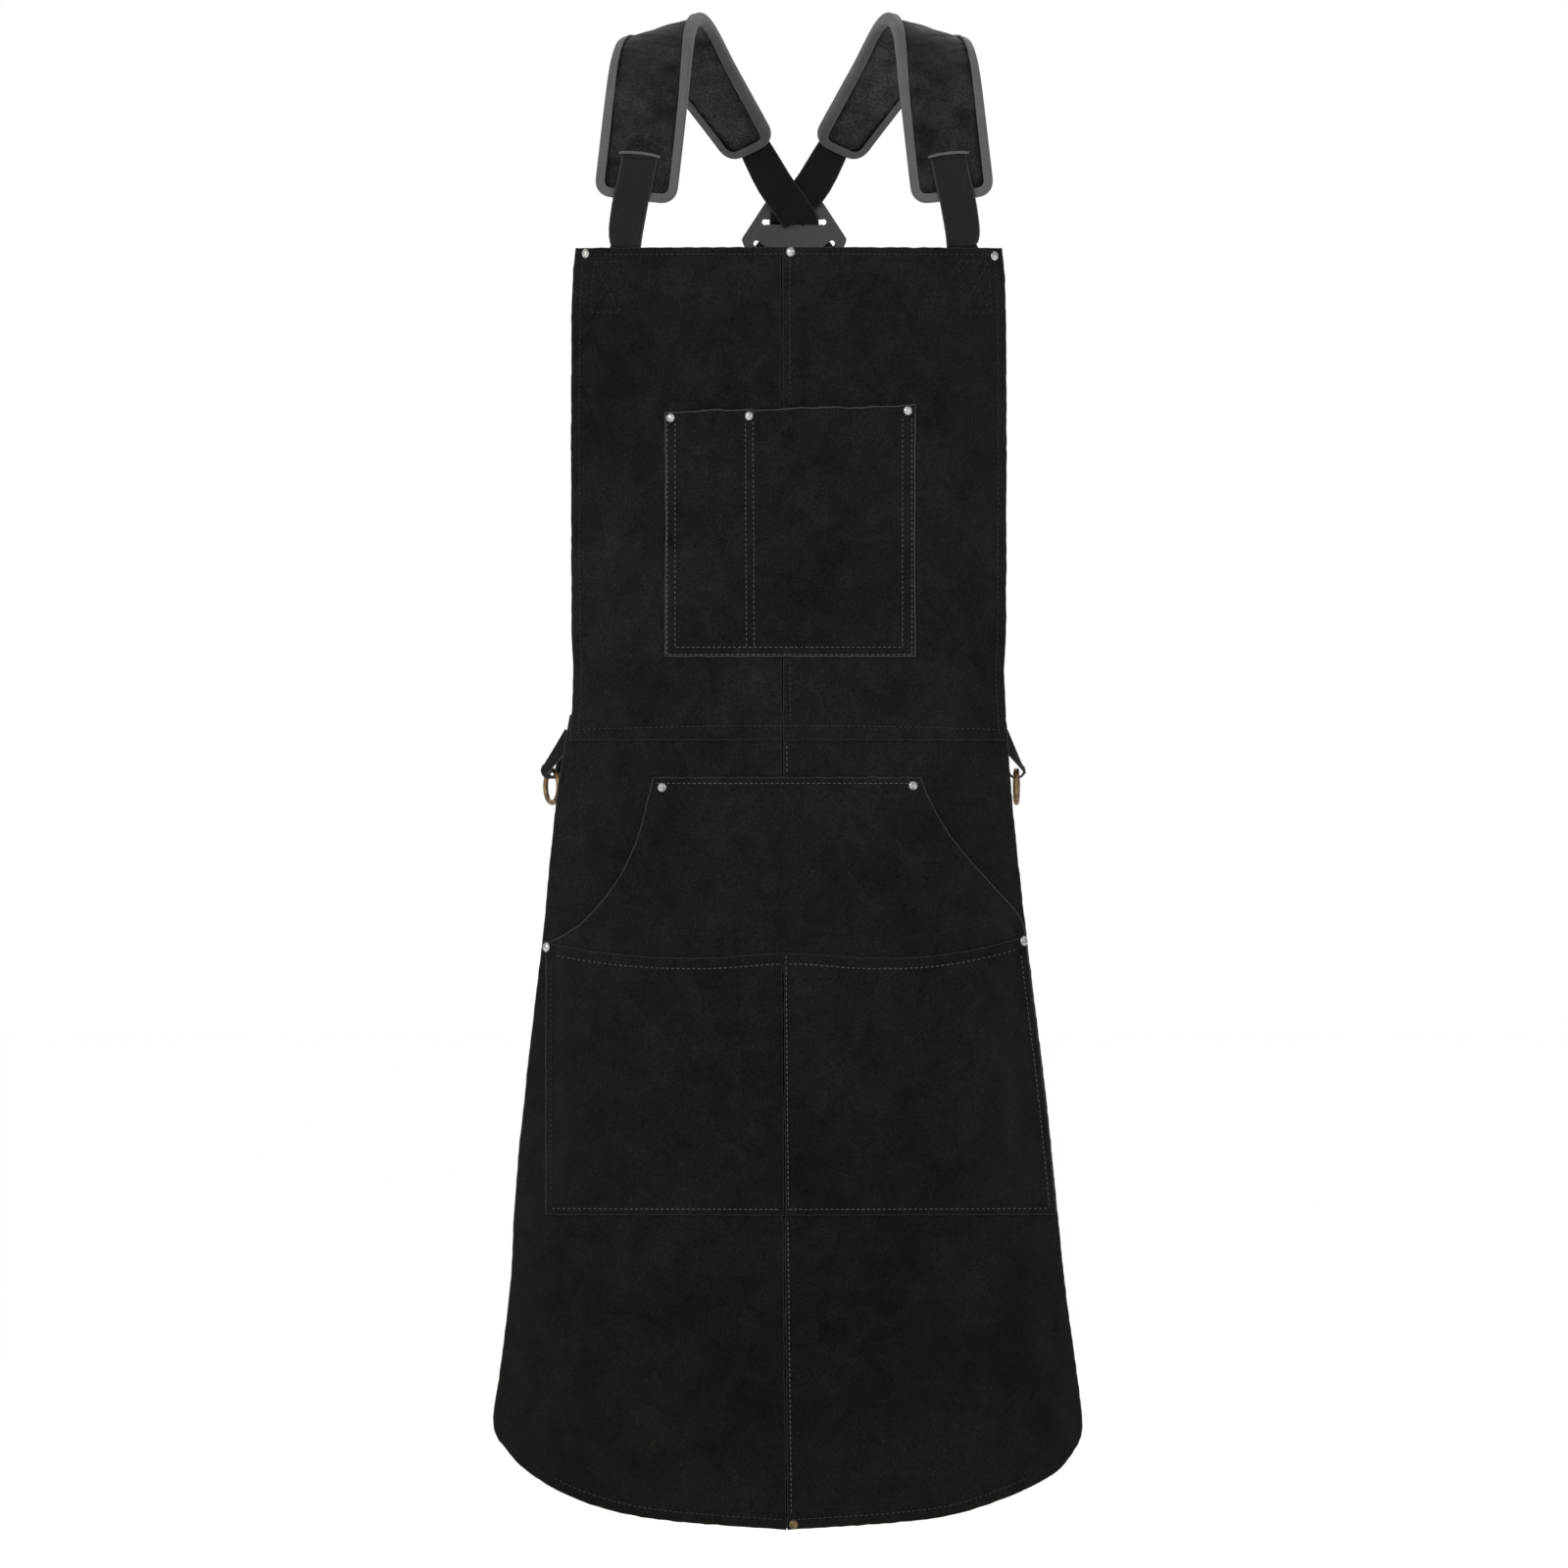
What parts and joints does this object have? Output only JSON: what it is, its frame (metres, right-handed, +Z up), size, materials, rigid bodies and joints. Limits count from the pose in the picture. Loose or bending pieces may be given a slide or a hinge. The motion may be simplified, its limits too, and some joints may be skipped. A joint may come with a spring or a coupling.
{
  "type": "welding apron",
  "caption": "Leather welding apron with bib, chest and hand pockets, padded shoulder straps that cross at a back plate, waist rings and snap-hook straps.",
  "frame": {"origin": "midway between the undersides of the two shoulder pads at their highest point", "axes": "+Z up, X across the wearer, the apron's front faces -Y"},
  "size_m": [0.492, 0.2791, 1.2643],
  "materials": {
    "leather": "split leather, matt suede side out",
    "webbing": "woven polyester webbing",
    "pad_suede": "brushed suede-like fabric",
    "binding": "grosgrain binding tape",
    "foam": "foam padding inside the pads",
    "plate": "moulded, satin",
    "rivet_silver": "nickel-plated, worn",
    "brass": "antique brass, brushed",
    "hook_metal": "nickel-plated die casting"
  },
  "bodies": {
    "root": {"bib_left": "leather", "bib_right": "leather", "skirt_left": "leather", "skirt_right": "leather", "bib_pocket": "leather", "hand_pocket": "leather", "lap_panel_left": "leather", "lap_panel_right": "leather", "ring_loop_left": "leather", "ring_loop_right": "leather", "bib_rivets": "rivet_silver", "bib_rivet_backs": "rivet_silver", "pocket_rivets": "rivet_silver", "pocket_rivet_backs": "rivet_silver", "hand_pocket_rivets": "rivet_silver", "hand_pocket_rivet_backs": "rivet_silver", "hem_rivet": "brass", "hem_rivet_back": "brass", "shoulder_webbing_left": "webbing", "lower_strap_left": "webbing", "pad_cover_left": "pad_suede", "pad_lining_left": "pad_suede", "pad_foam_left": "foam", "pad_binding_left": "binding", "shoulder_webbing_right": "webbing", "lower_strap_right": "webbing", "pad_cover_right": "pad_suede", "pad_lining_right": "pad_suede", "pad_foam_right": "foam", "pad_binding_right": "binding", "cross_plate": "plate"},
    "waist_ring_left": {"ring_left": "brass"},
    "slide_left": {"strap_slide_left": "plate"},
    "eye_left": {"hook_eye_left": "hook_metal"},
    "hook_left": {"hook_body_left": "hook_metal", "gate_pin_left": "hook_metal", "gate_spring_left": "hook_metal"},
    "gate_left": {"hook_gate_left": "hook_metal"},
    "waist_ring_right": {"ring_right": "brass"},
    "slide_right": {"strap_slide_right": "plate"},
    "eye_right": {"hook_eye_right": "hook_metal"},
    "hook_right": {"hook_body_right": "hook_metal", "gate_pin_right": "hook_metal", "gate_spring_right": "hook_metal"},
    "gate_right": {"hook_gate_right": "hook_metal"}
  },
  "joints": [
    {"name": "ring_left_swing", "type": "hinge", "parent": "root", "child": "waist_ring_left", "pos_m": [-0.1972, -0.0445, -0.6214], "axis": [-0.4067, 0.9135, 0], "range_deg": [-60, 60]},
    {"name": "slide_left_travel", "type": "slide", "parent": "root", "child": "slide_left", "axis": [0, 0, 1], "range_m": [-0.04, 0.02]},
    {"name": "hook_left_swing", "type": "hinge", "parent": "root", "child": "eye_left", "pos_m": [-0.054, 0.09225, -0.64], "axis": [1, 0, 0], "range_deg": [-75, 75]},
    {"name": "hook_left_swivel", "type": "hinge", "parent": "eye_left", "child": "hook_left", "pos_m": [-0.054, 0.09225, -0.655], "axis": [0, 0, 1], "continuous": true},
    {"name": "gate_left_open", "type": "hinge", "parent": "hook_left", "child": "gate_left", "pos_m": [-0.046, 0.09225, -0.6738], "axis": [0, 1, 0], "range_deg": [0, 30], "stiffness_Nm_per_rad": 0.02, "springref_deg": -14.9},
    {"name": "ring_right_swing", "type": "hinge", "parent": "root", "child": "waist_ring_right", "pos_m": [0.1897, -0.046, -0.6214], "axis": [0.0698, 0.9976, 0], "range_deg": [-60, 60]},
    {"name": "slide_right_travel", "type": "slide", "parent": "root", "child": "slide_right", "axis": [0, 0, 1], "range_m": [-0.04, 0.02]},
    {"name": "hook_right_swing", "type": "hinge", "parent": "root", "child": "eye_right", "pos_m": [0.063, 0.09225, -0.64], "axis": [1, 0, 0], "range_deg": [-75, 75]},
    {"name": "hook_right_swivel", "type": "hinge", "parent": "eye_right", "child": "hook_right", "pos_m": [0.063, 0.09225, -0.655], "axis": [0, 0, 1], "continuous": true},
    {"name": "gate_right_open", "type": "hinge", "parent": "hook_right", "child": "gate_right", "pos_m": [0.055, 0.09225, -0.6738], "axis": [0, -1, 0], "range_deg": [0, 30], "stiffness_Nm_per_rad": 0.02, "springref_deg": -14.9}
  ]
}
